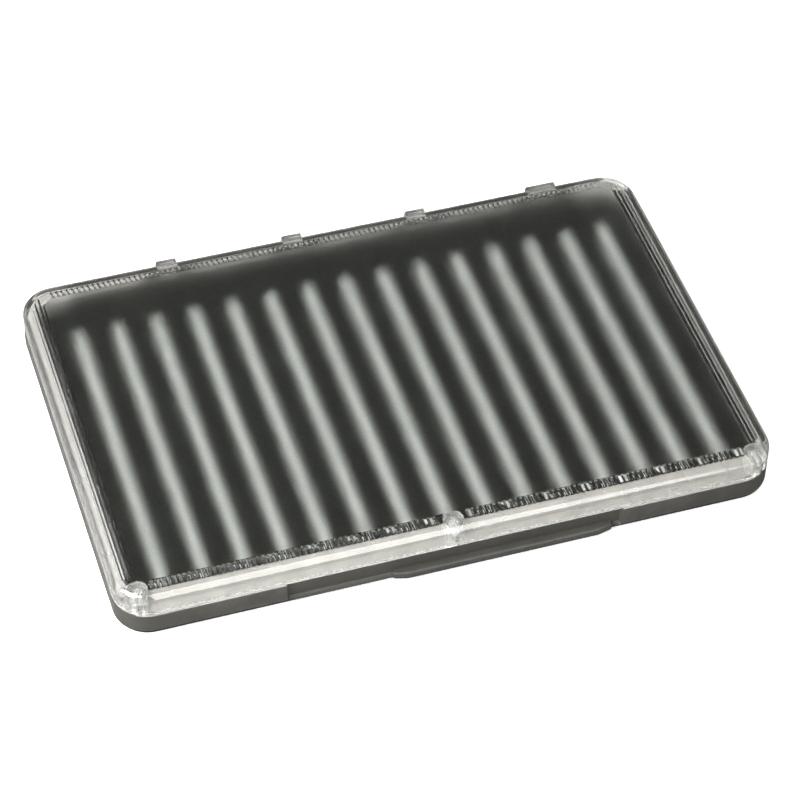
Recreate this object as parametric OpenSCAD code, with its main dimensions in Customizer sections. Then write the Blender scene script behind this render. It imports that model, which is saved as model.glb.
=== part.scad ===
// Slim pocket case for fishing flies, lid closed.
// Frame: origin at the centre of the flat underside, +X along the long side,
// +Y towards the hinge, +Z up.  All sizes in millimetres.

/* [Case] */
// Length along the hinge
case_l = 186; // [170:1:220]
// Depth from the front edge to the back wall
case_w = 123.6; // [116:0.2:140]
// Height with the lid closed
case_h = 15.5; // [14:0.5:20]
// Height of the grey base, up to the split line
split_z = 8.6; // [8:0.1:9]
// Gap left at the split line
split_gap = 0.1; // [0.05:0.05:0.3]
// Radius of the four upright corners
corner_r = 9.8; // [9.4:0.2:14]
// Radius along the top and bottom edges
edge_r = 2.2; // [1.6:0.1:2.4]

/* [Walls] */
// Side wall thickness
wall = 2.0; // [1.6:0.1:2.4]
// Thickness of the base floor
floor_t = 1.6; // [1.2:0.1:2]
// Thickness of the lid's top plate
top_t = 1.6; // [1.2:0.1:2]
// Depth of the solid front rail, measured from the front edge
rail_w = 7.8; // [7.8:0.1:10]

/* [Rear rib] */
// Half length of the raised rib behind the foam
rib_hx = 78; // [70:1:80]
// Thickness of the rib
rib_t = 1.3; // [0.8:0.1:1.6]
// Top of the rib above the underside
rib_top = 10.8; // [9:0.1:11.4]
// Gap between the rib and the lid's back wall
rib_gap = 0.2; // [0.15:0.05:0.4]

/* [Finger grip] */
// Left end of the finger recess
grip_x0 = -47.6; // [-60:0.2:-40]
// Right end of the finger recess
grip_x1 = 47.6; // [46:0.2:60]
// Depth of the finger recess
grip_d = 1.2; // [0.6:0.1:1.4]
// Height of the lip under the recess
lip_h = 3.4; // [2.6:0.1:4]
// How far the lip stands out past the front wall
lip_out = 1.05; // [0.6:0.05:1.4]
// Left end of the standing part of the lip
lip_x0 = -18.0; // [-30:1:-10]
// Right end of the standing part of the lip
lip_x1 = 45.0; // [30:1:46]

/* [Hinge] */
// Pin diameter
pin_d = 1.5; // [1.2:0.1:1.6]
// Radial clearance between the pin and the lid lugs
pin_play = 0.06; // [0.03:0.01:0.1]
// Outer radius of every knuckle
knuckle_r = 2.0; // [1.8:0.1:2.1]
// Distance of the pin behind the back wall
pin_back = 2.35; // [2.3:0.05:2.6]
// Width of the three narrow lid lugs
lug_w = 6; // [5:0.5:8]
// Width of the wide right-hand lid lug
lug_wide = 9; // [8:0.5:12]
// Width of each base ear
ear_w = 4; // [3:0.5:5]
// Side play between a lug and its ears
lug_play = 0.25; // [0.15:0.05:0.4]

/* [Magnets] */
// Magnet diameter
mag_d = 3; // [2:0.5:3]
// Magnet height
mag_h = 2.5; // [2:0.5:3]
// Diameter of the round posts and bosses that hold the magnets
post_d = 5.8; // [5:0.2:6]
// Distance of the magnets behind the front edge
mag_in = 4.7; // [4.5:0.1:4.8]
// How far the magnets sit back from the faces that meet
mag_sink = 0.1; // [0.05:0.05:0.2]

/* [Foam] */
// Top of the foam above the underside
foam_top = 7.5; // [6:0.1:8.2]
// Thickness of the adhesive sheet under the foam
tape_t = 0.2; // [0.1:0.1:0.4]
// Number of light ripple strips
strips = 15; // [13:1:15]
// Distance from strip to strip
strip_pitch = 11.37; // [11:0.01:11.4]
// Width of one light strip
strip_w = 2.9; // [2:0.1:4]
// Centre of the first strip
strip_x0 = -78.25; // [-80:0.05:-77]
// Front end of the strips
strip_y0 = -52.5; // [-53:0.1:-48]
// Back end of the strips
strip_y1 = 47.5; // [44:0.1:56]

/* [Hidden] */

grey = "#6b6963";
clear = [0.86, 0.9, 0.88, 0.35];
steel = "#c9cccf";
nickel = "#b4b6b8";
foam_dark = "#20221f";
foam_light = "#eceee9";

hl = case_l / 2;
hw = case_w / 2;
rim_z = split_z + split_gap;
in_l = case_l - 2 * wall;
in_w = case_w - 2 * wall;
in_r = corner_r - wall;
rail_y = -hw + rail_w;
pin_y = hw + pin_back;
pin_z = case_h / 2;
pin_r = pin_d / 2;
post_r = post_d / 2;
mag_y = -hw + mag_in;
mag_x = [-87.0, 0.2, 87.0];
// lug centres, left to right, and the width of each
lug_x = [-48.2, -10.2, 27.8, 67.3];
lug_ws = [lug_w, lug_w, lug_w, lug_wide];
ears = [for (i = [0:3], s = [-1, 1]) lug_x[i] + s * (lug_ws[i] / 2 + lug_play + ear_w / 2)];
pin_x0 = ears[0] - ear_w / 2 - 0.3;
pin_x1 = ears[7] + ear_w / 2 + 0.3;
pad_gap = 0.25;
tape_z0 = floor_t;
tape_z1 = floor_t + tape_t;

// outline of a bar's section, from its inner plane at x = 0 to the outer face
// at x = r, with the top outer corner rounded to radius e
function bar_section(r, h, e, n = 6) = concat(
  [[0, 0], [r, 0]],
  [for (i = [0:n]) let (a = 90 * i / n) [r - e + e * cos(a), h - e + e * sin(a)]],
  [[0, h]]);

// closed block with upright corners of radius r and a rounded top edge
module soft_block(l, w, h, r, e) {
  // middle, then the four straight sides, then the four corners
  translate([-l / 2 + r, -w / 2 + r, 0]) cube([l - 2 * r, w - 2 * r, h]);
  for (s = [0, 180]) rotate([0, 0, s])
    translate([l / 2 - r, w / 2 - r, 0]) rotate([90, 0, 0])
      linear_extrude(height = w - 2 * r) polygon(bar_section(r, h, e));
  for (s = [90, 270]) rotate([0, 0, s])
    translate([w / 2 - r, l / 2 - r, 0]) rotate([90, 0, 0])
      linear_extrude(height = l - 2 * r) polygon(bar_section(r, h, e));
  for (sx = [0, 1], sy = [0, 1]) mirror([sx, 0, 0]) mirror([0, sy, 0])
    translate([l / 2 - r, w / 2 - r, 0])
      rotate_extrude(angle = 90, $fn = 96) polygon(bar_section(r, h, e));
}

// plain block with round upright corners, standing on z = 0
module round_block(l, w, h, r) {
  cube_l = l - 2 * r;
  cube_w = w - 2 * r;
  translate([-l / 2, -cube_w / 2, 0]) cube([l, cube_w, h]);
  translate([-cube_l / 2, -w / 2, 0]) cube([cube_l, w, h]);
  for (sx = [-1, 1], sy = [-1, 1]) translate([sx * cube_l / 2, sy * cube_w / 2, 0])
    cylinder(r = r, h = h, $fn = 96);
}

// one knuckle: a round barrel on the pin with a web that runs to the wall;
// up = true makes the lid's lug, false the base's ear
module knuckle(x, w, up) {
  // web corners measured from the lid side, mirrored down for the base
  web = [[hw - 0.9, case_h - 1.8], [hw + 2.3, case_h - 1.8], [hw + 2.6, case_h - 2.1],
         [pin_y + 1.8, pin_z + 0.8], [pin_y, pin_z], [hw + 0.5, pin_z + 1.4],
         [hw - 0.9, pin_z + 1.4]];
  pts = [for (p = web) [p[0], up ? p[1] : min(case_h - p[1], split_z - 0.2)]];
  translate([x - w / 2, 0, 0]) rotate([90, 0, 90]) {
    linear_extrude(height = w) polygon(pts);
    translate([pin_y, pin_z, 0]) cylinder(r = knuckle_r, h = w, $fn = 64);
  }
}

module along_pin(x, l, r) {
  translate([x, pin_y, pin_z]) rotate([0, 90, 0]) cylinder(r = r, h = l, $fn = 48);
}

module base_tray() {
  rib_y = hw - wall - rib_gap - rib_t;
  color(grey) {
    base_body();
    // raised rib along the back wall, standing on the floor and joined to the wall below the split
    translate([-rib_hx, rib_y, floor_t - 0.6]) cube([2 * rib_hx, rib_t, rib_top - floor_t + 0.6]);
    translate([-rib_hx, rib_y, floor_t - 0.6])
      cube([2 * rib_hx, rib_t + rib_gap + 0.4, split_z - 0.3 - floor_t + 0.6]);
  }
}

module base_body() {
  difference() {
    union() {
      translate([0, 0, split_z]) rotate([180, 0, 0])
        soft_block(case_l, case_w, split_z, corner_r, edge_r);
      for (x = ears) knuckle(x, ear_w, false);
      // thumb lip at the foot of the finger recess
      translate([0, 0, 0.8]) linear_extrude(height = lip_h - 0.8)
        polygon([[lip_x0, -hw + 2], [lip_x0, -hw], [lip_x0 + 4, -hw - lip_out],
                 [lip_x1 - 4.5, -hw - lip_out], [lip_x1, -hw], [lip_x1, -hw + 2]]);
    }
    // tray that takes the foam: back part with round corners, square at the rail
    difference() {
      translate([0, 0, floor_t]) round_block(in_l, in_w, split_z, in_r);
      translate([-case_l, -case_w, 0]) cube([2 * case_l, case_w + rail_y, 2 * split_z]);
    }
    // finger recess above the lip
    translate([grip_x0, -hw - 3, lip_h]) cube([grip_x1 - grip_x0, 3 + grip_d, split_z]);
    // magnet pockets, open at the top of the rail
    for (x = mag_x) translate([x, mag_y, split_z - mag_sink - mag_h])
      cylinder(d = mag_d, h = mag_h + 1, $fn = 48);
    // bores of the ears
    along_pin(pin_x0 - 1, pin_x1 - pin_x0 + 2, pin_r - 0.01);
  }
}

module lid_shell() {
  color(clear) difference() {
    union() {
      difference() {
        translate([0, 0, rim_z]) soft_block(case_l, case_w, case_h - rim_z, corner_r, edge_r);
        translate([0, 0, rim_z - 1]) round_block(in_l, in_w, case_h - top_t - rim_z + 1, in_r);
      }
      // magnet posts, from the rim up into the top plate
      for (x = mag_x) translate([x, mag_y, rim_z])
        cylinder(r = post_r, h = case_h - top_t + 0.3 - rim_z, $fn = 64);
      for (i = [0:3]) knuckle(lug_x[i], lug_ws[i], true);
    }
    // magnet pockets and the narrow core above each
    for (x = mag_x) {
      translate([x, mag_y, rim_z - 1]) cylinder(d = mag_d, h = 1 + mag_sink + mag_h, $fn = 48);
      translate([x, mag_y, rim_z]) cylinder(d = 1.6, h = case_h - top_t - 0.3 - rim_z, $fn = 32);
    }
    // bores of the lugs
    along_pin(pin_x0 - 1, pin_x1 - pin_x0 + 2, pin_r + pin_play);
  }
}

module hinge_pin() {
  color(steel) along_pin(pin_x0, pin_x1 - pin_x0, pin_r);
}

module lid_magnet(x) {
  color(nickel) translate([x, mag_y, rim_z + mag_sink]) cylinder(d = mag_d, h = mag_h, $fn = 48);
}

module base_magnet(x) {
  color(nickel) translate([x, mag_y, split_z - mag_sink - mag_h])
    cylinder(d = mag_d, h = mag_h, $fn = 48);
}

// block that fills the tray, with the tray's round corners at the back
module tray_fill(z0, z1, gap) {
  intersection() {
    translate([0, 0, z0]) round_block(in_l - 2 * gap, in_w - 2 * gap, z1 - z0, in_r - gap);
    translate([-case_l, rail_y + gap, z0 - 1]) cube([2 * case_l, case_w, z1 - z0 + 2]);
  }
}

// room that the rear rib takes from what fills the tray
module rib_room() {
  translate([-rib_hx - 0.3, hw - wall - rib_gap - rib_t - pad_gap, 0])
    cube([2 * rib_hx + 0.6, 6, 2 * split_z]);
}

module foam_adhesive_sheet() {
  color("#d8d2be") difference() {
    tray_fill(tape_z0, tape_z1, pad_gap);
    rib_room();
  }
}

module strip(i, z0, z1) {
  translate([strip_x0 + (i - 1) * strip_pitch - strip_w / 2, strip_y0, z0])
    cube([strip_w, strip_y1 - strip_y0, z1 - z0]);
}

module foam_pad() {
  color(foam_dark) difference() {
    tray_fill(tape_z1, foam_top, pad_gap);
    for (i = [1:strips]) strip(i, tape_z1 - 1, foam_top + 1);
    rib_room();
  }
}

module ripple_strip(i) {
  color(foam_light) strip(i, tape_z1, foam_top);
}

base_tray();
lid_shell();
hinge_pin();
lid_magnet(mag_x[0]);  // lid_magnet_left
lid_magnet(mag_x[1]);  // lid_magnet_centre
lid_magnet(mag_x[2]);  // lid_magnet_right
base_magnet(mag_x[0]);  // base_magnet_left
base_magnet(mag_x[1]);  // base_magnet_centre
base_magnet(mag_x[2]);  // base_magnet_right
foam_adhesive_sheet();
foam_pad();
ripple_strip(1);  // ripple_strip_01
ripple_strip(2);  // ripple_strip_02
ripple_strip(3);  // ripple_strip_03
ripple_strip(4);  // ripple_strip_04
ripple_strip(5);  // ripple_strip_05
ripple_strip(6);  // ripple_strip_06
ripple_strip(7);  // ripple_strip_07
ripple_strip(8);  // ripple_strip_08
ripple_strip(9);  // ripple_strip_09
ripple_strip(10);  // ripple_strip_10
ripple_strip(11);  // ripple_strip_11
ripple_strip(12);  // ripple_strip_12
ripple_strip(13);  // ripple_strip_13
ripple_strip(14);  // ripple_strip_14
ripple_strip(15);  // ripple_strip_15
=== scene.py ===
"""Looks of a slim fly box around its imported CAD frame.

All shape tables are in millimetres in the part frame (origin at the centre of the
flat underside, +X along the hinge, +Y to the hinge, +Z up) and are scaled to metres
when a mesh is made.
"""
import bpy
import bmesh
import math
import random
from mathutils import Matrix, Vector


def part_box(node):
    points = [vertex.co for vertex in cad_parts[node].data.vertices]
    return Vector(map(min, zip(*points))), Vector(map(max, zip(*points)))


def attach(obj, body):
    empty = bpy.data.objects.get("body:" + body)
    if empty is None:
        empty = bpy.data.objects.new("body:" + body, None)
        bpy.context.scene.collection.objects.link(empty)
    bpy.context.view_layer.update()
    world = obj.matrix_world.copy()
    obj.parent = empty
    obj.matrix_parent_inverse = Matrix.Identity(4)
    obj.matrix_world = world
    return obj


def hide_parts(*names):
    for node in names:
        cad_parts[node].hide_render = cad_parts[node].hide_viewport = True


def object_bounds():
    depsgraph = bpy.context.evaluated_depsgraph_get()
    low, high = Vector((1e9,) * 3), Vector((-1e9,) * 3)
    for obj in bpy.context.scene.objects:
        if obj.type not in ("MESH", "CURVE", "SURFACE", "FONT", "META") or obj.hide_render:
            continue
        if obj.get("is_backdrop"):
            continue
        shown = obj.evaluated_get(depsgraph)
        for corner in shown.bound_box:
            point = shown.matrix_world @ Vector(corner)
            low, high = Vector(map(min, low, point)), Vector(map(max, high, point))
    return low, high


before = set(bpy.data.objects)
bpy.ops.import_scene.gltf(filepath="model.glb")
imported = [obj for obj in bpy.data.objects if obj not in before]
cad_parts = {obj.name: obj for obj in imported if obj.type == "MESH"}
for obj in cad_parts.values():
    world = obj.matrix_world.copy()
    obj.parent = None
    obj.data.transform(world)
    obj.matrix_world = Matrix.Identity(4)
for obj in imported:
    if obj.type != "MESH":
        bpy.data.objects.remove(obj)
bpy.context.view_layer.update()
MM = 0.001

# ---------------------------------------------------------------- sizes (mm)
HL, HW, H = 93.0, 61.8, 15.5          # half length, half depth, height
SPLIT, RIM = 8.6, 8.7                  # top of base, bottom edge of lid
R = 9.8                                # upright corners
WALL, FLOOR_T, TOP_T = 2.0, 1.6, 1.6
CEIL = H - TOP_T
RAIL_Y = -54.0
PIN_Y, PIN_Z = 64.15, 7.75
MAG_X, MAG_Y = (-87.0, 0.2, 87.0), -57.1
LUG_X, LUG_W = (-48.2, -10.2, 27.8, 67.3), (6.0, 6.0, 6.0, 9.0)
EAR_W, LUG_PLAY = 4.0, 0.25
EARS = [LUG_X[i] + s * (LUG_W[i] / 2 + LUG_PLAY + EAR_W / 2) for i in range(4) for s in (-1, 1)]
STRIPS, PITCH, STRIP_W, STRIP_X0 = 15, 11.37, 2.9, -78.25
STRIP_Y0, STRIP_Y1 = -52.5, 47.5
RIB_X, RIB_Z = 78.0, 10.8              # half length and top of the rib behind the foam
FOAM_TOP, TAPE_TOP = 7.5, 1.8


# ---------------------------------------------------------------- mesh tools
def make(name, verts, faces, mats=(), face_mat=None):
    me = bpy.data.meshes.new(name)
    me.from_pydata([(x * MM, y * MM, z * MM) for x, y, z in verts], [], faces)
    for m in mats:
        me.materials.append(m)
    if face_mat:
        me.polygons.foreach_set("material_index", face_mat)
    me.validate()
    me.update()
    ob = bpy.data.objects.new(name, me)
    bpy.context.scene.collection.objects.link(ob)
    return ob


def outward(ob):
    bm = bmesh.new()
    bm.from_mesh(ob.data)
    bmesh.ops.recalc_face_normals(bm, faces=bm.faces)
    bm.to_mesh(ob.data)
    bm.free()
    return ob


def bake(ob):
    """Replaces the mesh with its evaluated one and drops the modifiers."""
    dg = bpy.context.evaluated_depsgraph_get()
    me = bpy.data.meshes.new_from_object(ob.evaluated_get(dg))
    ob.modifiers.clear()
    old = ob.data
    ob.data = me
    bpy.data.meshes.remove(old)
    return ob


def boolean(ob, cutter, op):
    m = ob.modifiers.new("b", "BOOLEAN")
    m.operation, m.solver, m.object = op, "MANIFOLD", cutter
    bake(ob)
    bpy.data.objects.remove(cutter)
    # a cutter has no material of its own, so what it leaves takes the first one
    empty = [i for i, mat in enumerate(ob.data.materials) if mat is None]
    if empty:
        for f in ob.data.polygons:
            if f.material_index in empty:
                f.material_index = 0
        for i in reversed(empty):
            ob.data.materials.pop(index=i)
    return ob


def smooth(ob, angle=30, weighted=True):
    me = ob.data
    me.shade_smooth()
    me.set_sharp_from_angle(angle=math.radians(angle))
    if weighted:
        w = ob.modifiers.new("w", "WEIGHTED_NORMAL")
        w.weight, w.keep_sharp, w.mode = 60, True, "FACE_AREA_WITH_ANGLE"
        bake(ob)
    return ob


def rr(hx, hy, r, n=14, cx=0.0, cy=0.0):
    """Rounded rectangle, counter-clockwise, 4 (n + 1) points."""
    pts = []
    for sx, sy, a0 in ((1, 1, 0), (-1, 1, 90), (-1, -1, 180), (1, -1, 270)):
        for i in range(n + 1):
            a = math.radians(a0 + 90 * i / n)
            pts.append((cx + sx * (hx - r) + r * math.cos(a), cy + sy * (hy - r) + r * math.sin(a)))
    return pts


def rr4(x0, x1, y0, y1, radii, n=14):
    """Rectangle with its own radius at each corner, from the back right one counter-clockwise."""
    pts = []
    for (cx, sx, cy, sy), r, a0 in zip(((x1, 1, y1, 1), (x0, -1, y1, 1), (x0, -1, y0, -1), (x1, 1, y0, -1)), radii,
                                       (0, 90, 180, 270)):
        for i in range(n + 1):
            a = math.radians(a0 + 90 * i / n)
            pts.append((cx - sx * r + r * math.cos(a), cy - sy * r + r * math.sin(a)))
    return pts


def loft(name, loops, mats=(), band_mat=None, caps=(True, True), cap_mat=(0, 0)):
    """Closed solid through a list of loops of equal length, each a list of (x, y, z)."""
    n = len(loops[0])
    verts = [p for lp in loops for p in lp]
    faces, fm = [], []
    for k in range(len(loops) - 1):
        for i in range(n):
            j = (i + 1) % n
            faces.append((k * n + i, k * n + j, (k + 1) * n + j, (k + 1) * n + i))
            fm.append(band_mat[k] if band_mat else 0)
    if caps[0]:
        faces.append(tuple(reversed(range(n))))
        fm.append(cap_mat[0])
    if caps[1]:
        o = (len(loops) - 1) * n
        faces.append(tuple(range(o, o + n)))
        fm.append(cap_mat[1])
    return outward(make(name, verts, faces, mats, fm))


def stack(name, hx, hy, r, profile, **kw):
    """Rounded block from a profile of (inset, z) steps: each step is the outline moved in by inset."""
    cx, cy, n = kw.pop("cx", 0.0), kw.pop("cy", 0.0), kw.pop("n", 14)
    loops = []
    for d, z in profile:
        loops.append([(x, y, z) for x, y in rr(hx - d, hy - d, max(r - d, 0.05), n, cx, cy)])
    return loft(name, loops, **kw)


def arc(cx, cz, r, a0, a1, n):
    """Points of an arc in an (inset, z) profile, angles in degrees."""
    return [(cx + r * math.cos(math.radians(a0 + (a1 - a0) * i / n)),
             cz + r * math.sin(math.radians(a0 + (a1 - a0) * i / n))) for i in range(n + 1)]


def lathe(name, prof, axis="z", at=(0, 0, 0), n=48, mats=()):
    """Closed turned solid from (radius, height) steps; a radius of 0 at both ends closes it."""
    verts, faces, rings = [], [], []
    for r, h in prof:
        if r < 1e-6:
            rings.append([len(verts)])
            verts.append((0.0, 0.0, h))
        else:
            rings.append(list(range(len(verts), len(verts) + n)))
            verts += [(r * math.cos(2 * math.pi * i / n), r * math.sin(2 * math.pi * i / n), h) for i in range(n)]
    for a, b in zip(rings, rings[1:]):
        for i in range(n):
            j = (i + 1) % n
            if len(a) == 1:
                faces.append((a[0], b[j], b[i]))
            elif len(b) == 1:
                faces.append((a[i], a[j], b[0]))
            else:
                faces.append((a[i], a[j], b[j], b[i]))
    out = []
    for x, y, z in verts:
        if axis == "x":
            x, y, z = z, x, y
        out.append((x + at[0], y + at[1], z + at[2]))
    return outward(make(name, out, faces, mats))


def prism(name, poly, lo, hi, axis="x", bevel=0.0, mats=()):
    """Polygon drawn across `axis`, pushed from lo to hi, its end edges eased by `bevel`."""
    cx = sum(p[0] for p in poly) / len(poly)
    cy = sum(p[1] for p in poly) / len(poly)

    def put(p, q, t):
        return (t, p, q) if axis == "x" else ((p, t, q) if axis == "y" else (p, q, t))

    def shrink(d):
        if d == 0:
            return poly
        area = sum(poly[i][0] * poly[(i + 1) % len(poly)][1] - poly[(i + 1) % len(poly)][0] * poly[i][1]
                   for i in range(len(poly)))
        s = 1 if area > 0 else -1
        out = []
        m = len(poly)
        for i in range(m):
            (x0, y0), (x1, y1), (x2, y2) = poly[i - 1], poly[i], poly[(i + 1) % m]
            ax, ay, bx, by = x1 - x0, y1 - y0, x2 - x1, y2 - y1
            la, lb = math.hypot(ax, ay) or 1, math.hypot(bx, by) or 1
            nx1, ny1, nx2, ny2 = -ay / la * s, ax / la * s, -by / lb * s, bx / lb * s
            nx, ny = nx1 + nx2, ny1 + ny2
            l2 = nx * nx + ny * ny
            k = 2 * d / l2 if l2 > 0.3 else d
            out.append((x1 + nx * k, y1 + ny * k))
        return out

    loops = []
    if bevel:
        steps = [(bevel, 0.0), (bevel * 0.3, bevel * 0.3), (0.0, bevel)]
        for d, t in steps:
            loops.append([put(p, q, lo + t) for p, q in shrink(d)])
        for d, t in reversed(steps):
            loops.append([put(p, q, hi - t) for p, q in shrink(d)])
    else:
        loops = [[put(p, q, lo) for p, q in poly], [put(p, q, hi) for p, q in poly]]
    return loft(name, loops, mats)


def round_poly(pts, radii, n=6):
    """Polygon with its corners rounded; radii is one number or one a corner."""
    out, m = [], len(pts)
    for i in range(m):
        r = radii[i] if hasattr(radii, "__len__") else radii
        p0, p1, p2 = (Vector(pts[i - 1]), Vector(pts[i]), Vector(pts[(i + 1) % m]))
        if r <= 0:
            out.append(tuple(p1))
            continue
        a, b = (p0 - p1), (p2 - p1)
        la, lb = a.length, b.length
        a.normalize(); b.normalize()
        ang = a.angle(b)
        t = min(r / math.tan(ang / 2), la * 0.48, lb * 0.48)
        rr_ = t * math.tan(ang / 2)
        c = p1 + (a + b).normalized() * (rr_ / math.sin(ang / 2))
        s, e = p1 + a * t - c, p1 + b * t - c
        a0, a1 = math.atan2(s.y, s.x), math.atan2(e.y, e.x)
        d = (a1 - a0 + math.pi) % (2 * math.pi) - math.pi
        for k in range(n + 1):
            w = a0 + d * k / n
            out.append((c.x + rr_ * math.cos(w), c.y + rr_ * math.sin(w)))
    return out


def join(name, parts):
    """Several solids that don't touch, as one mesh."""
    bm = bmesh.new()
    for p in parts:
        bm.from_mesh(p.data)
        old = p.data
        bpy.data.objects.remove(p)
        bpy.data.meshes.remove(old)
    me = bpy.data.meshes.new(name)
    bm.to_mesh(me)
    bm.free()
    ob = bpy.data.objects.new(name, me)
    bpy.context.scene.collection.objects.link(ob)
    return ob


# ---------------------------------------------------------------- node tools
class Mat:
    def __init__(self, name):
        self.m = bpy.data.materials.new(name)
        self.m.use_nodes = True
        self.nt = self.m.node_tree
        self.nt.nodes.clear()
        self.out = self.node("ShaderNodeOutputMaterial")
        self.p = self.node("ShaderNodeBsdfPrincipled")
        self.link(self.p.outputs["BSDF"], self.out.inputs["Surface"])
        self.co = self.node("ShaderNodeTexCoord").outputs["Object"]

    def node(self, kind, **kw):
        n = self.nt.nodes.new(kind)
        for k, v in kw.items():
            setattr(n, k, v)
        return n

    def link(self, a, b):
        self.nt.links.new(a, b)

    def set(self, **kw):
        for k, v in kw.items():
            self.p.inputs[k.replace("_", " ")].default_value = v

    def scaled(self, sx=1.0, sy=1.0, sz=1.0):
        n = self.node("ShaderNodeMapping")
        n.inputs["Scale"].default_value = (sx, sy, sz)
        self.link(self.co, n.inputs["Vector"])
        return n.outputs["Vector"]

    def noise(self, size_mm, detail=3.0, rough=0.55, vec=None, dist=0.0):
        n = self.node("ShaderNodeTexNoise")
        n.inputs["Scale"].default_value = 1.0 / (size_mm * MM)
        n.inputs["Detail"].default_value = detail
        n.inputs["Roughness"].default_value = rough
        n.inputs["Distortion"].default_value = dist
        self.link(vec if vec is not None else self.co, n.inputs["Vector"])
        return n.outputs["Fac"]

    def voronoi(self, size_mm, feature="F1", out="Distance", vec=None, rand=1.0):
        n = self.node("ShaderNodeTexVoronoi", feature=feature)
        n.inputs["Scale"].default_value = 1.0 / (size_mm * MM)
        n.inputs["Randomness"].default_value = rand
        self.link(vec if vec is not None else self.co, n.inputs["Vector"])
        return n.outputs[out]

    def ramp(self, fac, stops, interp="LINEAR"):
        n = self.node("ShaderNodeValToRGB")
        n.color_ramp.interpolation = interp
        el = n.color_ramp.elements
        while len(el) > len(stops):
            el.remove(el[-1])
        while len(el) < len(stops):
            el.new(0.5)
        for e, (p, c) in zip(el, stops):
            e.position = p
            e.color = (*c, 1) if hasattr(c, "__len__") else (c, c, c, 1)
        self.link(fac, n.inputs["Fac"])
        return n.outputs["Color"]

    def maprange(self, v, a, b, c, d):
        n = self.node("ShaderNodeMapRange")
        for k, x in zip(("From Min", "From Max", "To Min", "To Max"), (a, b, c, d)):
            n.inputs[k].default_value = x
        self.link(v, n.inputs["Value"])
        return n.outputs["Result"]

    def math(self, op, a, b=None, clamp=False):
        n = self.node("ShaderNodeMath", operation=op, use_clamp=clamp)
        for i, v in enumerate((a, b)):
            if v is None:
                continue
            if isinstance(v, (int, float)):
                n.inputs[i].default_value = v
            else:
                self.link(v, n.inputs[i])
        return n.outputs["Value"]

    def mix(self, fac, a, b, blend="MIX"):
        n = self.node("ShaderNodeMix", data_type="RGBA", blend_type=blend)
        for s, v in ((n.inputs["Factor"], fac), (n.inputs[6], a), (n.inputs[7], b)):
            if isinstance(v, (int, float)):
                s.default_value = v
            elif isinstance(v, tuple):
                s.default_value = (*v, 1) if len(v) == 3 else v
            else:
                self.link(v, s)
        return n.outputs[2]

    def bump(self, height, mm, strength=1.0, normal=None):
        n = self.node("ShaderNodeBump")
        n.inputs["Strength"].default_value = strength
        n.inputs["Distance"].default_value = mm * MM
        self.link(height, n.inputs["Height"])
        if normal is not None:
            self.link(normal, n.inputs["Normal"])
        return n.outputs["Normal"]

    def lets_lamps_through(self, colour=(1, 1, 1)):
        """Lamp rays pass the clear plastic, so that what is behind it is lit."""
        path = self.node("ShaderNodeLightPath")
        t = self.node("ShaderNodeBsdfTransparent")
        t.inputs["Color"].default_value = (*colour, 1)
        mx = self.node("ShaderNodeMixShader")
        self.link(path.outputs["Is Shadow Ray"], mx.inputs["Fac"])
        self.link(self.p.outputs["BSDF"], mx.inputs[1])
        self.link(t.outputs["BSDF"], mx.inputs[2])
        self.link(mx.outputs["Shader"], self.out.inputs["Surface"])


def clear_polished(name="clear_polished_plastic", ior=1.585, wave=0.012, blur=0.0):
    """Polished clear plastic: faint handling marks in roughness and very low waves of the mould."""
    k = Mat(name)
    k.set(Base_Color=(0.99, 0.987, 0.98, 1), IOR=ior)
    k.p.inputs["Transmission Weight"].default_value = 1.0
    rough = k.maprange(k.noise(6.0, 4.0, 0.6), 0.35, 0.75, 0.012 + blur, 0.05 + blur)
    fine = k.noise(0.5, 2.0, 0.5, vec=k.scaled(0.12, 1.0, 1.0))
    k.link(k.math("ADD", rough, k.maprange(fine, 0.62, 0.75, 0.0, 0.05)), k.p.inputs["Roughness"])
    h = k.math("ADD", k.noise(14.0, 1.0, 0.4), k.math("MULTIPLY", k.noise(2.2, 1.0, 0.4), 0.06))
    k.link(k.bump(h, wave, 0.5), k.p.inputs["Normal"])
    k.lets_lamps_through((0.955, 0.95, 0.94))
    return k.m


def clear_frosted():
    """The same plastic with a fine moulded-in frosting that blurs what lies under it."""
    k = Mat("clear_frosted_plastic")
    k.nt.nodes.remove(k.p)
    k.p = k.node("ShaderNodeBsdfGlass", distribution="BECKMANN")
    k.set(IOR=1.585)
    grain = k.noise(0.55, 3.0, 0.65)
    cloud = k.noise(11.0, 3.0, 0.5)
    col = k.ramp(grain, [(0.3, (0.79, 0.815, 0.79)), (0.7, (0.94, 0.965, 0.94))])
    k.link(col, k.p.inputs["Color"])
    k.link(k.maprange(cloud, 0.3, 0.7, 0.43, 0.47), k.p.inputs["Roughness"])
    k.link(k.bump(grain, 0.03, 0.5), k.p.inputs["Normal"])
    k.lets_lamps_through((0.93, 0.94, 0.925))
    return k.m


def clear_satin(name="clear_satin_plastic", through=0.55, gloss=0.36):
    """Matt moulded faces of the clear plastic: rim and magnet posts, milky because they scatter light."""
    k = Mat(name)
    k.set(IOR=1.585)
    k.p.inputs["Transmission Weight"].default_value = through
    grain = k.noise(0.3, 3.0, 0.6)
    k.link(k.ramp(grain, [(0.3, (0.66, 0.68, 0.655)), (0.7, (0.86, 0.88, 0.855))]), k.p.inputs["Base Color"])
    k.link(k.maprange(k.noise(1.5, 3.0, 0.6), 0.3, 0.7, gloss, gloss + 0.14), k.p.inputs["Roughness"])
    k.link(k.bump(grain, 0.02, 0.5), k.p.inputs["Normal"])
    k.lets_lamps_through((0.81, 0.805, 0.79))
    return k.m


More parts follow.
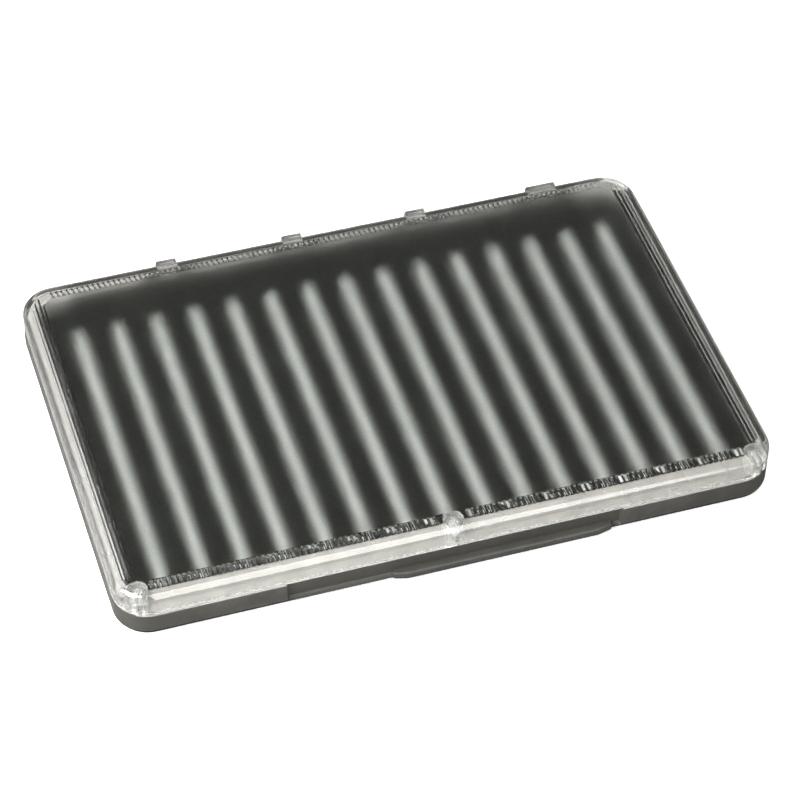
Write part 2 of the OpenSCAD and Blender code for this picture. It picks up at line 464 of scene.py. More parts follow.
def clear_drawn(name="clear_drawn_plastic", through=1.0):
    """Inner walls and fillet of the lid: the mould is only stoned there, so they blur a little."""
    k = Mat(name)
    k.set(Base_Color=(0.985, 0.98, 0.97, 1), IOR=1.585)
    k.p.inputs["Transmission Weight"].default_value = through
    lines = k.noise(5.0, 2.0, 0.5, vec=k.scaled(0.25, 0.25, 1.0))
    k.link(k.maprange(lines, 0.3, 0.7, 0.22, 0.29), k.p.inputs["Roughness"])
    k.link(k.bump(lines, 0.006, 0.4), k.p.inputs["Normal"])
    k.lets_lamps_through((0.935, 0.93, 0.92))
    return k.m


def clear_seam():
    """Flat underside of the rim: matt, with a dim tint that is painted shade for light turned back inside the wall."""
    k = Mat("clear_seam_plastic")
    k.nt.nodes.remove(k.p)
    k.p = k.node("ShaderNodeBsdfGlass", distribution="GGX")
    k.set(IOR=1.585)
    grain = k.noise(0.8, 3.0, 0.6)
    # the dim colour is painted shade
    k.link(k.ramp(grain, [(0.3, (0.44, 0.435, 0.42)), (0.7, (0.54, 0.535, 0.52))]), k.p.inputs["Color"])
    k.link(k.maprange(k.noise(3.0, 3.0, 0.5), 0.3, 0.7, 0.30, 0.38), k.p.inputs["Roughness"])
    k.link(k.bump(grain, 0.01, 0.4), k.p.inputs["Normal"])
    k.lets_lamps_through((0.88, 0.875, 0.86))
    return k.m


def clear_edge():
    """Outer roundings at the back and the right, and the lugs: looked at along the plastic, with a darker tint that is
    painted shade.
    """
    k = Mat("clear_edge_painted_shade_plastic")
    k.set(IOR=1.585)
    k.p.inputs["Transmission Weight"].default_value = 1.0
    haze = k.noise(2.5, 3.0, 0.6)
    # the darker tint is painted shade
    k.link(k.ramp(haze, [(0.3, (0.42, 0.405, 0.38)), (0.7, (0.52, 0.505, 0.48))]), k.p.inputs["Base Color"])
    k.link(k.maprange(k.noise(6.0, 4.0, 0.6), 0.35, 0.75, 0.03, 0.09), k.p.inputs["Roughness"])
    k.link(k.bump(haze, 0.01, 0.5), k.p.inputs["Normal"])
    k.lets_lamps_through((0.9, 0.9, 0.89))
    return k.m


def grey_satin(name="grey_satin_plastic", k0=1.0, spec=0.5):
    """Satin grey moulded base: spark-eroded grain, faint flow mottling, and edges made lighter and glossier, partly
    wear and partly a painted highlight.
    """
    k = Mat(name)
    mott = k.noise(16.0, 4.0, 0.55)
    fine = k.noise(0.9, 3.0, 0.6)
    base = k.ramp(mott, [(0.3, (0.036 * k0, 0.035 * k0, 0.031 * k0)), (0.7, (0.042 * k0, 0.041 * k0, 0.036 * k0))])
    base = k.mix(k.maprange(fine, 0.35, 0.7, 0.0, 0.22), base, (0.056 * k0, 0.055 * k0, 0.049 * k0))
    geo = k.node("ShaderNodeNewGeometry")
    # convex edges get a lighter colour: partly wear, partly a painted highlight
    wear_and_edge_highlight = k.math("MULTIPLY", k.maprange(geo.outputs["Pointiness"], 0.51, 0.56, 0.0, 1.0),
                  k.maprange(k.noise(5.0, 3.0, 0.6), 0.4, 0.65, 0.1, 0.6), clamp=True)
    base = k.mix(wear_and_edge_highlight, base, (0.095 * k0, 0.093 * k0, 0.085 * k0))
    k.link(base, k.p.inputs["Base Color"])
    r = k.maprange(k.noise(3.0, 3.0, 0.5), 0.3, 0.7, 0.40, 0.50)
    k.link(k.math("SUBTRACT", r, k.math("MULTIPLY", wear_and_edge_highlight, 0.1)), k.p.inputs["Roughness"])
    k.set(IOR=1.5)
    k.p.inputs["Specular IOR Level"].default_value = spec
    h = k.math("ADD", k.noise(0.22, 3.0, 0.6), k.math("MULTIPLY", k.voronoi(0.35), 0.5))
    k.link(k.bump(h, 0.02, 0.45), k.p.inputs["Normal"])
    return k.m


def foam(name, dark, light, bump, shine):
    """Closed-cell foam: small open skin cells, knife drag and soft mottling."""
    k = Mat(name)
    cell = k.voronoi(0.55)
    pits = k.ramp(cell, [(0.0, 0.0), (0.28, 0.55), (0.6, 1.0)])
    mott = k.noise(4.5, 4.0, 0.6)
    base = k.mix(k.maprange(mott, 0.3, 0.7, 0.0, 1.0), dark, light)
    # the hollow of each cell is darker: painted shade
    shade = k.mix(pits, tuple(c * 0.72 for c in dark), base)
    speck = k.maprange(k.noise(0.3, 2.0, 0.6), 0.62, 0.72, 0.0, 0.35)
    k.link(k.mix(speck, shade, tuple(min(1.0, c * 1.25 + 0.004) for c in light)), k.p.inputs["Base Color"])
    k.link(k.maprange(k.noise(2.0, 2.0), 0.3, 0.7, 0.78, 0.95), k.p.inputs["Roughness"])
    k.p.inputs["Specular IOR Level"].default_value = shine
    drag = k.noise(0.8, 2.0, 0.5, vec=k.scaled(1.0, 0.12, 1.0))
    h = k.math("ADD", pits, k.math("MULTIPLY", drag, 0.6))
    k.link(k.bump(h, bump, 0.7), k.p.inputs["Normal"])
    return k.m


def metal(name, col, rough, streak_axis=0):
    """Ground or plated metal: directional polish lines and small stains."""
    k = Mat(name)
    sc = [1.0, 1.0, 1.0]
    sc[streak_axis] = 0.06
    lines = k.noise(0.18, 3.0, 0.6, vec=k.scaled(*sc))
    stain = k.noise(2.5, 4.0, 0.6)
    c = k.mix(k.maprange(stain, 0.45, 0.75, 0.0, 0.5), col, tuple(x * 0.72 for x in col))
    k.link(c, k.p.inputs["Base Color"])
    k.set(Metallic=1.0)
    k.link(k.math("ADD", k.maprange(lines, 0.3, 0.7, rough - 0.07, rough + 0.1),
                  k.maprange(stain, 0.5, 0.8, 0.0, 0.12)), k.p.inputs["Roughness"])
    k.link(k.bump(lines, 0.006, 0.5), k.p.inputs["Normal"])
    return k.m


def adhesive_film():
    k = Mat("adhesive_film")
    fibre = k.noise(1.2, 4.0, 0.65, vec=k.scaled(1.0, 0.35, 1.0), dist=0.6)
    k.link(k.ramp(fibre, [(0.3, (0.50, 0.47, 0.38)), (0.7, (0.66, 0.63, 0.53))]), k.p.inputs["Base Color"])
    k.link(k.maprange(fibre, 0.3, 0.7, 0.45, 0.7), k.p.inputs["Roughness"])
    k.link(k.bump(fibre, 0.03, 0.5), k.p.inputs["Normal"])
    return k.m


CLEAR, FROST, SATIN = clear_polished(), clear_frosted(), clear_satin()
DRAWN, EDGE = clear_drawn(), clear_edge()
POST = clear_satin("clear_post_plastic", 0.84, 0.2)
HAZED = clear_drawn("clear_hazed_plastic", 0.8)
NOSE = clear_polished("clear_front_round_plastic", 1.76, 0.005, 0.06)
SEAM = clear_seam()
RIGHT = clear_drawn("clear_right_wall_plastic", 0.8)
GREY = grey_satin("grey_satin_plastic", 0.85, 0.4)
# a much lighter grey for top faces: painted light in place of light from above, and a painted highlight on the front
# top round
GREY_TOP_PAINTED_LIGHT = grey_satin("grey_top_painted_light", 5.0, 0.5)
# a near-black grey: painted contact shadow on the foot radius and painted shade at the root of the thumb lip
GREY_PAINTED_SHADE = grey_satin("grey_painted_contact_shade", 0.2, 0.0)
# a lighter grey for the recess panel: painted light that lifts the shade in the recess
GREY_PANEL_PAINTED_LIGHT = grey_satin("grey_recess_painted_light", 1.3, 0.3)
BLACK_FOAM = foam("black_closed_cell_foam", (0.006, 0.006, 0.005), (0.011, 0.011, 0.0095), 0.09, 0.1)
LIGHT_FOAM = foam("light_closed_cell_foam", (0.80, 0.82, 0.80), (0.90, 0.915, 0.90), 0.08, 0.25)
STEEL = metal("pin_stainless", (0.60, 0.60, 0.58), 0.28, 0)
NICKEL = metal("magnet_nickel_plating", (0.62, 0.60, 0.56), 0.22, 2)
FILM = adhesive_film()


# ---------------------------------------------------------------- lid
TOP_R = 2.4            # rounding of the top edge
IN_R = 2.0             # the fillet inside it
FX, FY0, FY1, FR = 86.45, -55.3, 56.0, (3.6, 3.6, 1.2, 1.2)      # frosted panel on the top face


def knuckle_poly(up):
    """Section (y, z) of a lid lug's web; the ears are its mirror image."""
    web = [(HW - 0.9, H - 1.8), (HW + 2.55, H - 1.8), (PIN_Y + 1.75, PIN_Z + 0.85), (PIN_Y, PIN_Z),
           (HW + 0.5, PIN_Z + 1.4), (HW - 0.9, PIN_Z + 1.4)]
    pts = web if up else [(y, min(H - z, SPLIT - 0.2)) for y, z in web]
    return round_poly(pts, [0, 0.6, 0, 0, 0.3, 0], 7)


def knuckle(x, w, up):
    a = prism("web", knuckle_poly(up), x - w / 2, x + w / 2, "x", 0.28)
    r, e = 1.985, 0.28
    prof = [(0, -w / 2), (r - e, -w / 2), (r - e * 0.3, -w / 2 + e * 0.3), (r, -w / 2 + e),
            (r, w / 2 - e), (r - e * 0.3, w / 2 - e * 0.3), (r - e, w / 2), (0, w / 2)]
    b = lathe("barrel", prof, "x", (x, PIN_Y, PIN_Z), 48)
    return boolean(a, b, "UNION")


def ridge(c, lo, hi, w, h, hip0=0.7, hip1=0.7, lift=0.25, tip=0.1):
    """Sharp V-shaped ridge along Y, hanging from the underside of the top plate, with sloping ends."""
    out = []
    for t, k in ((lo, 0.04), (lo + hip0, 1.0), (hi - hip1, 1.0), (hi, 0.04)):
        out.append([(c - w / 2, t, CEIL), (c - tip / 2, t, CEIL - h * k), (c + tip / 2, t, CEIL - h * k),
                    (c + w / 2, t, CEIL), (c + w / 2, t, CEIL + lift), (c - w / 2, t, CEIL + lift)])
    return loft("ridge", out)


def build_lid():
    # outer skin: rim fillet, wall, rounded top edge, then the flat top with the frosted field
    prof = arc(0.28, RIM + 0.28, 0.28, 270, 180, 5)
    prof += arc(TOP_R, H - TOP_R, TOP_R, 180, 90, 16)
    loops = [[(x, y, z) for x, y in rr(HL - d, HW - d, R - d)] for d, z in prof]
    loops.append([(x, y, H) for x, y in rr(HL - TOP_R - 0.25, HW - TOP_R - 0.25, R - TOP_R - 0.25)])
    for d, z in ((0.12, H), (0.0, H - 0.03)):
        loops.append([(x, y, z) for x, y in rr4(-FX - d, FX + d, FY0 - d, FY1 + d, [r + d for r in FR])])
    band = [0] * (len(loops) - 1)
    lid = loft("lid_case", loops, (CLEAR, FROST, SATIN, DRAWN, EDGE, POST, HAZED, NOSE, SEAM, RIGHT), band, cap_mat=(0, 1))
    # hollow: rim fillet, inner wall, small fillet up to the ceiling
    hx, hy, r = HL - WALL, HW - WALL, R - WALL
    hollow = [(-1.2, RIM - 0.9), (-0.25, RIM - 0.02), (-0.1, RIM + 0.09), (0.0, RIM + 0.3)]
    hollow += arc(IN_R, CEIL - IN_R, IN_R, 180, 90, 10)
    rings = []
    for d, z in hollow:
        b = d * 0.45 if d > 0 else d
        rings.append([(x, y, z) for x, y in rr(hx - d, hy - (d + b) / 2, r - d, 14, 0.0, (d - b) / 2)])
    boolean(lid, loft("hollow", rings), "DIFFERENCE")
    # lugs
    for x, w in zip(LUG_X, LUG_W):
        boolean(lid, knuckle(x, w, True), "UNION")
    # posts that hold the magnets, each with a small flare at its root
    post = [(0, RIM), (2.5, RIM), (2.68, RIM + 0.08), (2.76, RIM + 0.3), (2.76, CEIL - 0.3),
            (2.82, CEIL - 0.1), (2.92, CEIL - 0.02), (2.92, CEIL + 0.4), (0, CEIL + 0.4)]
    for x in MAG_X:
        boolean(lid, lathe("post", post, "z", (x, MAG_Y, 0), 64), "UNION")
    # short ridges side by side along the front and the back, three long ones at each side
    bars = []
    p, h = 1.54, 0.55
    k0 = int(84.6 / p)
    for k in range(-k0, k0 + 1):
        x = 0.2 + k * p
        if abs(x - 0.2) > 3.4:
            bars.append(ridge(x, -58.15, -54.7, p - 0.05, h, 0.7, 0.35))
        bars.append(ridge(x, 56.5, 59.3, p - 0.05, h, 0.75, 0.3))
    for s in (-1, 1):
        for j in range(3):
            x = s * (87.1 + 1.3 * j)
            bars.append(ridge(x, -53.4, 58.0 - 0.9 * j - 0.5 * j * j, 1.25, 0.45, 1.0, 1.0))
    boolean(lid, join("ribs", bars), "UNION")
    # magnet pockets, the narrow core above each, and the lug bores
    for x in MAG_X:
        pocket = [(0, RIM - 1), (1.75, RIM - 1), (1.75, RIM - 0.02), (1.5, RIM + 0.2), (1.5, RIM + 2.6),
                  (1.3, RIM + 2.75), (0.8, RIM + 2.85), (0.8, CEIL - 0.55), (0.55, CEIL - 0.3), (0, CEIL - 0.22)]
        boolean(lid, lathe("pocket", pocket, "z", (x, MAG_Y, 0), 48), "DIFFERENCE")
    bore = [(0, -60), (0.81, -60), (0.81, 80), (0, 80)]
    boolean(lid, lathe("bore", bore, "x", (0, PIN_Y, PIN_Z), 40), "DIFFERENCE")
    # matt faces: the rim that meets the base, and the posts with their pockets
    for f in lid.data.polygons:
        x, y, z = (v / MM for v in f.center)
        on_post = any(math.hypot(x - m, y - MAG_Y) < 2.95 for m in MAG_X) and z < CEIL - 0.03
        qx, qy = abs(x) - (HL - R), abs(y) - (HW - R)
        deep = R - (math.hypot(qx, qy) if qx > 0 and qy > 0 else max(qx, qy))     # inset from the outline
        if on_post:
            f.material_index = 5
        elif z < RIM + 0.25 and f.normal.z < -0.1 and deep < WALL:
            f.material_index = 6 if f.normal.z > -0.9 and deep < 0.3 else (8 if x < 88 else 2)
        elif z < CEIL - 0.01 and abs(deep - WALL) < 0.02 and y < -HW + WALL + 0.1:
            f.material_index = 6
        elif z > H - TOP_R and deep < TOP_R and y < -HW + TOP_R + 0.1 and f.normal.z < 0.998:
            f.material_index = 7
        elif z < CEIL - 0.01 and abs(deep - WALL) < 0.02 and y < 58:
            f.material_index = 3 if x < 90 else 9
        elif z > CEIL - IN_R and abs(math.hypot(deep - WALL - IN_R, z - CEIL + IN_R) - IN_R) < 0.04 and z < CEIL - 0.005 and y < 58:
            f.material_index = 3
        # lug tops take the edge plastic, whose darker tint is painted shade
        elif deep < -0.05 and z > PIN_Z + 1.2:
            f.material_index = 4 if 0.15 < f.normal.z < 0.95 else 0
        # the back and right outer roundings take the same painted shade
        elif z > H - TOP_R and deep < 1.9 and (y > 59.3 and 0.4 < f.normal.z < 0.85 or x > 90.4 and 0.1 < f.normal.z < 0.5):
            f.material_index = 4
    return smooth(lid, 32)


lid = build_lid()
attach(lid, "lid")
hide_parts("lid_shell")


# ---------------------------------------------------------------- base
def build_base():
    e = 3.05
    # outer skin from the flat underside up to the small round at the split
    prof = arc(e, e, e, 270, 180, 14) + arc(0.6, SPLIT - 0.6, 0.6, 180, 90, 8)
    base = stack("base_case", HL, HW, R, prof, mats=(GREY, GREY_TOP_PAINTED_LIGHT, GREY_PAINTED_SHADE, GREY_PANEL_PAINTED_LIGHT))
    # ears
    for x in EARS:
        boolean(base, knuckle(x, EAR_W, False), "UNION")
    # tray: rounded foot and rim; the front side is the straight edge of the rail
    hx, hy, r = HL - WALL, HW - WALL, R - WALL
    d0 = [(0.8, FLOOR_T), (0.25, FLOOR_T + 0.2), (0.0, FLOOR_T + 0.8), (0.0, SPLIT - 0.35), (-0.1, SPLIT - 0.1),
          (-0.35, SPLIT + 0.02), (-0.6, SPLIT + 1.0)]
    loops = []
    n = 14
    for d, z in d0:
        y_front, y_back = RAIL_Y + d, hy - d
        ring = []
        for sx, a0 in ((1, 0), (-1, 90)):
            for i in range(n + 1):
                a = math.radians(a0 + 90 * i / n)
                rr_ = r - d
                ring.append((sx * (hx - r) + rr_ * math.cos(a), y_back - rr_ + rr_ * math.sin(a), z))
        rf = max(1.0 - d, 0.2)
        for sx, a0 in ((-1, 180), (1, 270)):
            for i in range(n + 1):
                a = math.radians(a0 + 90 * i / n)
                ring.append((sx * (hx - d - rf) + rf * math.cos(a), y_front + rf + rf * math.sin(a), z))
        loops.append(ring)
    boolean(base, loft("tray", loops), "DIFFERENCE")
    # raised rib along the back wall, inside the lid's, that keeps the foam in and light out
    rib = [(58.3, 1.2), (60.0, 1.2), (60.0, 8.3), (59.6, 8.5), (59.6, RIB_Z), (58.3, RIB_Z)]
    boolean(base, prism("rib", round_poly(rib, [0, 0, 0, 0, 0.35, 0.35], 6), -RIB_X, RIB_X, "x", 0.25), "UNION")
    # finger recess: the panel leans back towards its foot, with soft ends
    x0, x1 = -47.6, 47.6
    panel = []
    for z, d in ((SPLIT + 0.6, 0.95), (SPLIT - 0.35, 1.0), (5.9, 1.2), (3.6, 1.45), (2.6, 1.45), (2.2, 1.15), (2.0, 0.7)):
        inset = 0.0 if z > 5 else (0.15 if z > 3 else 0.35)
        y = -HW + d
        pts = [(x0 + inset, -HW - 3), (x1 - inset, -HW - 3), (x1 - inset, y), (x0 + inset, y)]
        panel.append([(x, yy, z) for x, yy in round_poly(pts, [0, 0, 0.8, 0.8], 6)])
    low = [(x, y, 1.9) for x, y, _ in panel[-1]]
    lowy = []
    for x, y, z in low:
        lowy.append((x, min(y, -HW + 0.2), z))
    panel.append(lowy)
    cut = loft("recess", panel)
    # thumb lip at the foot of the recess
    lp = [(-18.0, -HW + 2.3), (-18.0, -HW), (-14.0, -HW - 1.03), (40.5, -HW - 1.03), (45.0, -HW), (45.0, -HW + 2.3)]
    rad = [0, 1.5, 2.5, 2.5, 1.5, 0]
    lip_loops = []
    for d, z in ((0.9, 0.80), (0.45, 0.92), (0.12, 1.25), (0.0, 1.7), (0.0, 2.7), (0.12, 3.1), (0.4, 3.3), (0.8, 3.38)):
        pts = [(x, y if y > -HW + 1 else y + d) for x, y in lp]
        lip_loops.append([(x, y, z) for x, y in round_poly(pts, rad, 8)])
    boolean(base, cut, "DIFFERENCE")
    boolean(base, loft("lip", lip_loops), "UNION")
    # magnet pockets
    for x in MAG_X:
        pk = [(0, SPLIT - 2.6), (1.5, SPLIT - 2.6), (1.5, SPLIT - 0.12), (1.68, SPLIT + 0.02), (1.68, SPLIT + 1), (0, SPLIT + 1)]
        boolean(base, lathe("pocket", pk, "z", (x, MAG_Y, 0), 48), "DIFFERENCE")
    # underside: shallow panel, four low round feet left standing at its corners, gate mark
    under = stack("under", HL - 7.5, HW - 7.5, 7.0, [(-0.2, -0.5), (0.0, 0.0), (0.22, 0.3)], n=10)
    feet = [lathe("foot", [(0, -1), (4.2, -1), (4.2, 0.0), (4.5, 0.31), (0, 0.31)], "z", (sx * 76.0, sy * 45.0, 0), 40)
            for sx in (-1, 1) for sy in (-1, 1)]
    for f in feet:
        boolean(under, f, "DIFFERENCE")
    boolean(base, under, "DIFFERENCE")
    gate = lathe("gate", [(0, 0.0), (3.2, 0.0), (3.2, 0.34), (2.9, 0.42), (0.9, 0.42), (0.7, 0.36), (0, 0.36)], "z", (0, 0, 0), 40)
    boolean(base, gate, "DIFFERENCE")
    ej = [lathe("ejector", [(0, 0.2), (2.2, 0.2), (2.2, 0.34), (2.1, 0.38), (0, 0.38)], "z", (sx * 52.0, sy * 32.0, 0), 32)
          for sx in (-1, 1) for sy in (-1, 1)]
    boolean(base, join("ejectors", ej), "DIFFERENCE")
    bore = [(0, -60), (0.78, -60), (0.78, 80), (0, 80)]
    boolean(base, lathe("bore", bore, "x", (0, PIN_Y, PIN_Z), 40), "DIFFERENCE")
    # a straight edge across the flat top of the rail, where its painted lighter shade ends
    bm = bmesh.new()
    bm.from_mesh(base.data)
    bmesh.ops.bisect_plane(bm, geom=bm.verts[:] + bm.edges[:] + bm.faces[:], plane_co=(0, (RAIL_Y + 0.9) * MM, 0),
                           plane_no=(0, 1, 0), dist=1e-7)
    bm.to_mesh(base.data)
    bm.free()
    for f in base.data.polygons:
        x, y, z = (v / MM for v in f.center)
        # the flat top of the rail and the front top round take the lighter grey: painted light, and a painted highlight
        # on the round
        if SPLIT - 0.15 < z < SPLIT + 0.05 and f.normal.z > 0.8 and y < RAIL_Y + 0.9:
            f.material_index = 1
        elif SPLIT - 0.35 < z < SPLIT and 0.3 < f.normal.z < 0.995 and y < -HW + 1.5:
            f.material_index = 1
        # the lower part of the foot radius takes the near-black grey: a painted contact shadow
        elif z < 2.5 and -0.93 < f.normal.z < -0.15 and (abs(x) > HL - 2.5 or HW - 2.5 < abs(y) < HW + 0.1 or y < -HW):
            f.material_index = 2
        # the top of the thumb lip next to the panel takes the same near-black grey: a painted shade line
        elif -18.5 < x < 45.5 and 2.95 < z < 3.5 and f.normal.z > 0.35 and -HW + 0.5 < y < -HW + 1.6:
            f.material_index = 2
        # the recess panel takes the lighter grey: painted light against the shade under the lid
        elif abs(x) < 47.65 and -HW + 0.3 < y < -HW + 2.2 and 2.6 < z < SPLIT - 0.1 and (f.normal.y < -0.5 or abs(f.normal.x) > 0.5):
            f.material_index = 3
    return smooth(base, 32)


base = build_base()
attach(base, "base")
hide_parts("base_tray")


# ---------------------------------------------------------------- foam
random.seed(7)


def strip_outline(cx, grow=0.0, seed=0):
    """Cut strip seen from above: straight right edge, ripple-cut left edge."""
    rnd = random.Random(seed)
    xr, xl = cx + STRIP_W / 2 + grow, cx - STRIP_W / 2 - grow
    pts = []
    y, k = STRIP_Y0 - grow, 0
    tooth, sag = 2.4, 0.46
    ph = rnd.uniform(0.2, 1.0) * tooth
    edges = [STRIP_Y0 - grow]
    y = STRIP_Y0 + ph
    while y < STRIP_Y1 - 0.4:
        edges.append(y)
        y += tooth
    edges.append(STRIP_Y1 + grow)
    left = []
    for a, b in zip(edges, edges[1:]):
        m = 7
        depth = sag * min(1.0, (b - a) / tooth) * rnd.uniform(0.9, 1.08)
        for i in range(m):
            t = i / m
            bulge = math.sin(math.pi * min(1.0, t * 0.94 + 0.06)) ** 0.7 if i else 0.0
            left.append((xl + sag - depth * bulge, a + (b - a) * t))
    left.append((xl + sag, edges[-1]))
    right = [(xr, STRIP_Y1 + grow), (xr, STRIP_Y0 - grow)]
    # counter-clockwise: up the right side, down the left side
    return [(xr, STRIP_Y0 - grow), (xr, STRIP_Y1 + grow)] + list(reversed(left))


def build_strip(i):
    cx = STRIP_X0 + i * PITCH
    out = strip_outline(cx, -0.04, 100 + i)
    m = len(out)

    def moved(d):
        res = []
        for j in range(m):
            (x0, y0), (x1, y1), (x2, y2) = out[j - 1], out[j], out[(j + 1) % m]
            ax, ay, bx, by = x1 - x0, y1 - y0, x2 - x1, y2 - y1
            la, lb = math.hypot(ax, ay) or 1, math.hypot(bx, by) or 1
            nx, ny = -ay / la - by / lb, ax / la + bx / lb
            l = math.hypot(nx, ny) or 1
            res.append((x1 + nx / l * d, y1 + ny / l * d))
        return res

    loops = [[(x, y, TAPE_TOP) for x, y in out], [(x, y, FOAM_TOP - 0.22) for x, y in out]]
    for d, z in ((0.035, FOAM_TOP - 0.1), (0.10, FOAM_TOP - 0.03), (0.17, FOAM_TOP)):
        loops.append([(x, y, z) for x, y in moved(d)])
    ob = loft("ripple_foam_%02d" % (i + 1), loops, (LIGHT_FOAM,))
    smooth(ob, 38)
    return ob


def build_pad():
    gap = 0.25
    hx, hy, r = HL - WALL - gap, HW - WALL - gap, R - WALL - gap
    y_front = RAIL_Y + gap
    n = 12
    loops = []
    for d, z in ((0.0, TAPE_TOP), (0.0, FOAM_TOP - 0.45), (0.07, FOAM_TOP - 0.2), (0.22, FOAM_TOP - 0.05), (0.42, FOAM_TOP - 0.01)):
        ring = []
        for sx, a0 in ((1, 0), (-1, 90)):
            for i in range(n + 1):
                a = math.radians(a0 + 90 * i / n)
                q = r - d
                ring.append((sx * (hx - r) + q * math.cos(a), hy - r + q * math.sin(a), z))
        rf = 0.6
        for sx, a0 in ((-1, 180), (1, 270)):
            for i in range(n + 1):
                a = math.radians(a0 + 90 * i / n)
                ring.append((sx * (hx - d - rf) + rf * math.cos(a), y_front + d + rf + rf * math.sin(a), z))
        loops.append(ring)
    pad = loft("foam_block", loops, (BLACK_FOAM,))
    cuts = []
    for i in range(STRIPS):
        cx = STRIP_X0 + i * PITCH
        prof = [(0.0, TAPE_TOP - 1), (0.0, FOAM_TOP - 0.3), (-0.05, FOAM_TOP - 0.1), (-0.14, FOAM_TOP - 0.015), (-0.3, FOAM_TOP + 0.3)]
        cuts.append(stack("slot", STRIP_W / 2, (STRIP_Y1 - STRIP_Y0) / 2, 0.12, prof, cx=cx, cy=(STRIP_Y0 + STRIP_Y1) / 2, n=2))
    boolean(pad, join("slots", cuts), "DIFFERENCE")
    notch = round_poly([(-RIB_X - 0.3, 58.05), (RIB_X + 0.3, 58.05), (RIB_X + 0.3, 62.0), (-RIB_X - 0.3, 62.0)], [0.4, 0.4, 0, 0], 4)
    boolean(pad, prism("notch", notch, 0.5, 12.0, "z"), "DIFFERENCE")
    return smooth(pad, 40)


pad = build_pad()
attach(pad, "base")
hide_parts("foam_pad")
for i in range(STRIPS):
    s = build_strip(i)
    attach(s, "base")
    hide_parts("ripple_strip_%02d" % (i + 1))


# ---------------------------------------------------------------- pin and magnets
def build_pin():
    lo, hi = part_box("hinge_pin")
    x0, x1, r = lo.x / MM, hi.x / MM, 0.735
    prof = [(0, x0), (r - 0.3, x0), (r - 0.08, x0 + 0.1), (r, x0 + 0.32)]
    # rolled grip near the wide lug, so that the pin stays put
    for k in range(6):
        x = x1 - 9.0 + k * 0.9
        prof += [(r, x), (r + 0.012, x + 0.2), (r + 0.012, x + 0.45), (r, x + 0.65)]
    prof += [(r, x1 - 0.32), (r - 0.08, x1 - 0.1), (r - 0.3, x1), (0, x1)]
    return smooth(lathe("pin", prof, "x", (0, PIN_Y, PIN_Z), 40, (STEEL,)), 40)


pin = build_pin()
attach(pin, "base")
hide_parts("hinge_pin")

for node, body in (("lid_magnet", "lid"), ("base_magnet", "base")):
    for x, side in zip(MAG_X, ("left", "centre", "right")):
        lo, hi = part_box("%s_%s" % (node, side))
        z0, z1 = lo.z / MM, hi.z / MM
        r = (hi.x - lo.x) / 2 / MM - 0.01
        prof = [(0, z0 + 0.02), (0.5, z0), (r - 0.25, z0), (r - 0.07, z0 + 0.07), (r, z0 + 0.25),
                (r, z1 - 0.25), (r - 0.07, z1 - 0.07), (r - 0.25, z1), (0.5, z1), (0, z1 - 0.02)]
        m = smooth(lathe("%s_disc_%s" % (node, side), prof, "z", (x, MAG_Y, 0), 48, (NICKEL,)), 40)
        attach(m, body)
        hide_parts("%s_%s" % (node, side))

# the adhesive sheet keeps its CAD shape
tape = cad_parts["foam_adhesive_sheet"]
tape.data.materials.clear()
tape.data.materials.append(FILM)


# ---------------------------------------------------------------- stage, light, camera
def stage():
    """Pale table. Only what looks straight at it sees it as bright as a white sweep; what it lights
    and what shows in the clear plastic get the light grey that it is."""
    k = Mat("pale_floor")
    cloud = k.noise(60.0, 3.0, 0.5)
    seen = k.ramp(cloud, [(0.3, (0.93, 0.93, 0.93)), (0.7, (0.945, 0.945, 0.945))])
    lit = k.ramp(cloud, [(0.3, (0.27, 0.265, 0.25)), (0.7, (0.285, 0.28, 0.265))])
    direct = k.node("ShaderNodeLightPath").outputs["Is Camera Ray"]
    k.link(k.mix(direct, lit, seen), k.p.inputs["Base Color"])
    k.set(Roughness=0.9, Emission_Color=(1, 1, 1, 1))
    k.link(k.math("MULTIPLY", direct, 0.55), k.p.inputs["Emission Strength"])
    k.p.inputs["Specular IOR Level"].default_value = 0.1
    s = 3000.0
    fl = make("floor", [(-s, -s, -0.02), (s, -s, -0.02), (s, s, -0.02), (-s, s, -0.02)], [(0, 1, 2, 3)], (k.m,))
    fl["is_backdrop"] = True


stage()
sc = bpy.context.scene
world = bpy.data.worlds.new("studio")
sc.world = world
world.use_nodes = True
wn = world.node_tree
wn.nodes.clear()
wo = wn.nodes.new("ShaderNodeOutputWorld")
bg = wn.nodes.new("ShaderNodeBackground")
bg.inputs["Strength"].default_value = 1.0
wn.links.new(bg.outputs[0], wo.inputs[0])
tc = wn.nodes.new("ShaderNodeTexCoord")
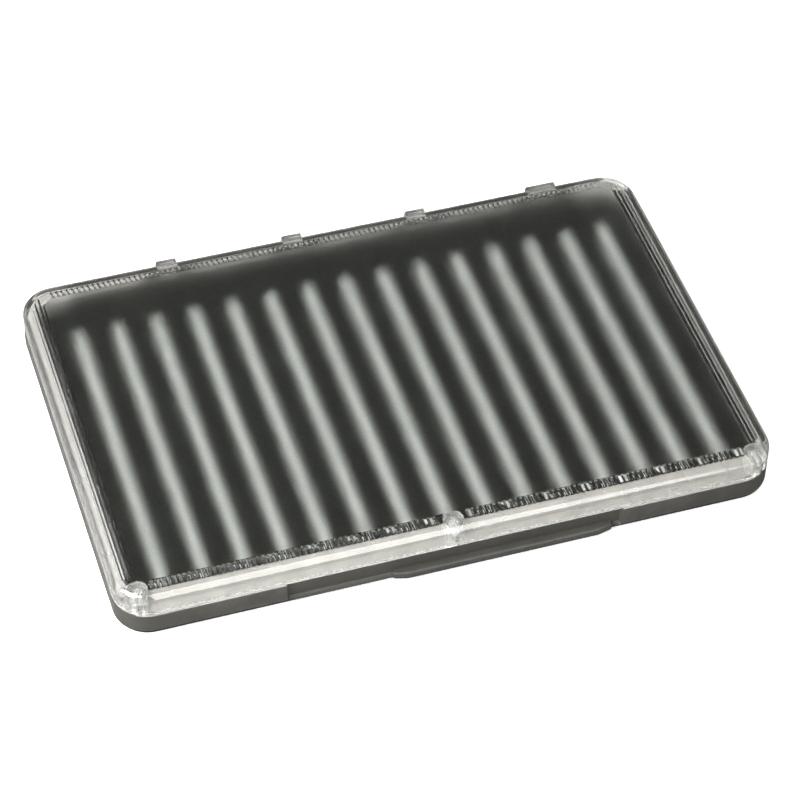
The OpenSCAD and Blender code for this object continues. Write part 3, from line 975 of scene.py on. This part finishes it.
# a dim room with a pale horizon all round, so that walls and edges have something to show
sep = wn.nodes.new("ShaderNodeSeparateXYZ")
wn.links.new(tc.outputs["Generated"], sep.inputs[0])
rm = wn.nodes.new("ShaderNodeValToRGB")
stops = [(0.0, 0.85), (0.50, 0.85), (0.60, 0.80), (0.68, 0.16), (0.80, 0.08), (1.0, 0.07)]
el = rm.color_ramp.elements
while len(el) < len(stops):
    el.new(0.5)
for e, (p, c) in zip(el, stops):
    e.position, e.color = p, (c, c, c * 0.985, 1)
mr = wn.nodes.new("ShaderNodeMapRange")
mr.inputs["From Min"].default_value, mr.inputs["From Max"].default_value = -1, 1
wn.links.new(sep.outputs["Z"], mr.inputs["Value"])
wn.links.new(mr.outputs["Result"], rm.inputs["Fac"])
wn.links.new(rm.outputs["Color"], bg.inputs["Color"])


def area(name, loc, look, size, radiance, size_y=None):
    """Softbox of a given brightness; a lamp's power is pi times its area times that."""
    li = bpy.data.lights.new(name, "AREA")
    li.size = size
    if size_y:
        li.shape, li.size_y = "RECTANGLE", size_y
    li.energy = math.pi * size * (size_y or size) * radiance
    ob = bpy.data.objects.new(name, li)
    ob.location = loc
    d = Vector(look) - Vector(loc)
    ob.rotation_euler = d.to_track_quat("-Z", "Y").to_euler()
    sc.collection.objects.link(ob)
    return ob


area("front_strip", (0.22, -1.04, 1.05), (0, 0, 0), 0.55, 4.9, 2.4)
area("left_softbox", (-1.2, -0.9, 1.6), (0, 0, 0), 1.0, 1.5)
area("key_softbox", (-0.34, -0.11, 0.32), (-0.01, 0.0, 0.0), 0.30, 25.5)

cam = bpy.data.cameras.new("camera")
cam.lens, cam.sensor_width, cam.sensor_fit = 136.97, 36.0, "AUTO"
cam.clip_start, cam.clip_end = 0.01, 20.0
co = bpy.data.objects.new("camera", cam)
right, down, fwd = ((0.953543, -0.300861, 0.015465), (-0.205371, -0.686739, -0.697289), (0.220407, 0.661719, -0.716623))
co.matrix_world = Matrix(((right[0], -down[0], -fwd[0], -0.186683),
                          (right[1], -down[1], -fwd[1], -0.570706),
                          (right[2], -down[2], -fwd[2], 0.621155),
                          (0, 0, 0, 1)))
sc.collection.objects.link(co)
sc.camera = co
sc.view_settings.view_transform = "Standard"
sc.cycles.caustics_refractive = False
sc.cycles.caustics_reflective = False

lo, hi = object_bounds()
